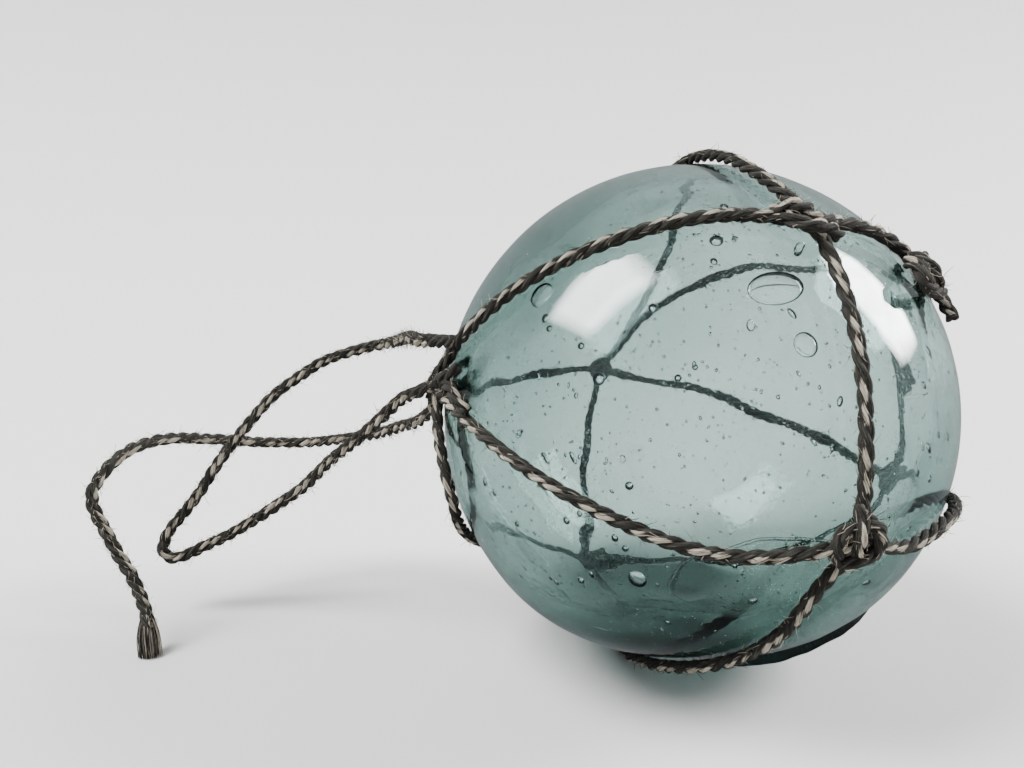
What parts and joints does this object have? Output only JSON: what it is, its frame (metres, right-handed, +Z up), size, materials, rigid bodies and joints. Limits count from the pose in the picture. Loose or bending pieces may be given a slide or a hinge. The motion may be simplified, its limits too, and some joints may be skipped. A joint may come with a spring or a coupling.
{
  "type": "glass float ball",
  "caption": "Hand-blown glass float ball with a fused seal, in a knotted cord net with a hanging loop and a loose tail.",
  "frame": {"origin": "on the floor under the ball's centre, in the small flat spot of the seal that the ball rests on", "axes": "+Z up; +X from the knot with the loop and the tail towards the ball's far side; +Y away from the side that the picture shows"},
  "size_m": [0.1627, 0.0949, 0.0926],
  "materials": {
    "glass": "clear pale teal, hand blown, full of small bubbles",
    "twine": "rough three-strand twine, dark grey-brown, with a cream yarn in two of its strands"
  },
  "bodies": {
    "root": {"glass_ball": "glass", "net": "twine", "hanging_loop": "twine", "loose_tail": "twine"}
  },
  "joints": []
}
